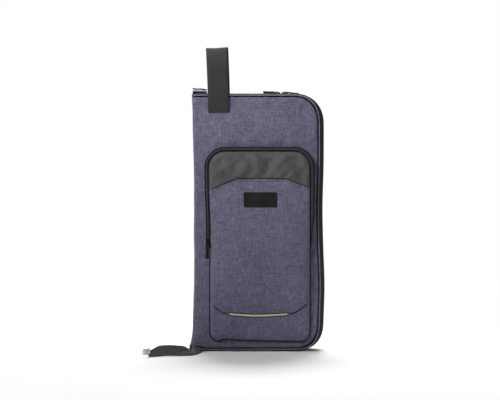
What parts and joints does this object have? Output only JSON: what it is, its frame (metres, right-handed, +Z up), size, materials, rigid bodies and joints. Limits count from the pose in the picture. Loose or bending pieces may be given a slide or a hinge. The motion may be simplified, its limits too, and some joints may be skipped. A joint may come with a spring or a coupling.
{
  "type": "drum stick bag",
  "caption": "Padded zipped bag for drum sticks that opens like a book, with stick sleeves, a front pocket, a webbing handle and a strap with a hook.",
  "frame": {"origin": "on the floor, under the middle of the bag's width and depth, the bag standing upright", "axes": "+Z up, -Y towards the front pocket, -X towards the spine"},
  "size_m": [0.3243, 0.1283, 0.552],
  "materials": {
    "blue_melange": "woven melange, matte",
    "grey_nylon": "plain weave nylon, slight sheen",
    "black_tape": "woven tape, matte",
    "webbing": "ribbed webbing",
    "lining": "smooth nylon lining",
    "foam": "closed cell foam",
    "board": "stiffening board",
    "zip_teeth": "moulded coil",
    "zip_metal": "dark plated zinc",
    "hook_steel": "nickel plated steel",
    "label_leather": "black leatherette",
    "tan_trim": "tan corded trim"
  },
  "bodies": {
    "back_half": {"back_shell": "blue_melange", "back_foam": "foam", "back_board": "board", "back_lining": "lining", "back_piping": "blue_melange", "back_gusset": "black_tape", "back_zip_tape": "black_tape", "back_zip_teeth": "zip_teeth", "back_zip_stop_top": "zip_metal", "back_zip_stop_bottom": "zip_metal", "back_stick_sleeve": "lining", "back_sleeve_binding": "black_tape", "handle_back_leg": "webbing", "zip_end_patch": "blue_melange"},
    "spine": {"spine_shell": "blue_melange", "spine_foam": "foam", "spine_lining": "lining", "handle_crown": "webbing"},
    "front_half": {"front_shell": "blue_melange", "front_foam": "foam", "front_board": "board", "front_lining": "lining", "front_piping": "blue_melange", "front_gusset": "black_tape", "front_zip_tape": "black_tape", "front_zip_teeth": "zip_teeth", "front_zip_stop_top": "zip_metal", "front_zip_stop_bottom": "zip_metal", "front_stick_sleeve": "lining", "front_sleeve_binding": "black_tape", "handle_front_leg": "webbing", "pocket_gusset": "black_tape", "pocket_outer_tape": "black_tape", "pocket_trim_piping": "tan_trim", "pocket_lower_panel": "blue_melange", "pocket_lower_foam": "foam", "pocket_lower_lining": "lining", "strap_base": "webbing", "hanging_strap_flat": "webbing", "hanging_strap_edge": "webbing", "strap_hook": "hook_steel"},
    "pocket_flap": {"pocket_flap_panel": "blue_melange", "pocket_yoke": "grey_nylon", "pocket_flap_foam": "foam", "pocket_flap_lining": "lining", "pocket_inner_tape": "black_tape", "label_patch": "label_leather"},
    "pocket_slider": {"pocket_zip_slider": "zip_metal"},
    "pocket_puller": {"pocket_zip_puller": "zip_metal"},
    "main_slider_left": {"main_zip_slider_left": "zip_metal"},
    "main_puller_left": {"main_zip_puller_left": "zip_metal", "main_zip_pull_tab_left": "webbing"},
    "main_slider_right": {"main_zip_slider_right": "zip_metal"},
    "main_puller_right": {"main_zip_puller_right": "zip_metal", "main_zip_pull_tab_right": "webbing"}
  },
  "joints": [
    {"name": "spine_fold", "type": "hinge", "parent": "back_half", "child": "spine", "pos_m": [-0.12, 0.03, 0], "axis": [0, 0, -1], "range_deg": [0, 90]},
    {"name": "front_fold", "type": "hinge", "parent": "spine", "child": "front_half", "pos_m": [-0.12, -0.015, 0], "axis": [0, 0, -1], "range_deg": [0, 90]},
    {"name": "pocket_flap_fold", "type": "hinge", "parent": "front_half", "child": "pocket_flap", "pos_m": [0.00165, -0.0314, 0.1958], "axis": [1, 0, 0], "range_deg": [0, 85]},
    {"name": "pocket_zip_slide", "type": "slide", "parent": "front_half", "child": "pocket_slider", "axis": [0, 0, 1], "range_m": [0, 0.126]},
    {"name": "pocket_puller_swing", "type": "hinge", "parent": "pocket_slider", "child": "pocket_puller", "pos_m": [-0.09325, -0.0292, 0.2], "axis": [-1, 0, 0], "range_deg": [0, 165]},
    {"name": "main_zip_slide_left", "type": "slide", "parent": "back_half", "child": "main_slider_left", "axis": [-1, 0, 0], "range_m": [0, 0.13]},
    {"name": "main_puller_swing_left", "type": "hinge", "parent": "main_slider_left", "child": "main_puller_left", "pos_m": [0.034, 0.0075, 0.4724], "axis": [0, 1, 0], "range_deg": [0, 90]},
    {"name": "main_zip_slide_right", "type": "slide", "parent": "back_half", "child": "main_slider_right", "axis": [1, 0, 0], "range_m": [0, 0.008]},
    {"name": "main_puller_swing_right", "type": "hinge", "parent": "main_slider_right", "child": "main_puller_right", "pos_m": [0.048, 0.0075, 0.4724], "axis": [0, -1, 0], "range_deg": [0, 90]}
  ],
  "couplings": [
    {"joint": "front_fold", "follows": "spine_fold", "ratio": 1}
  ]
}
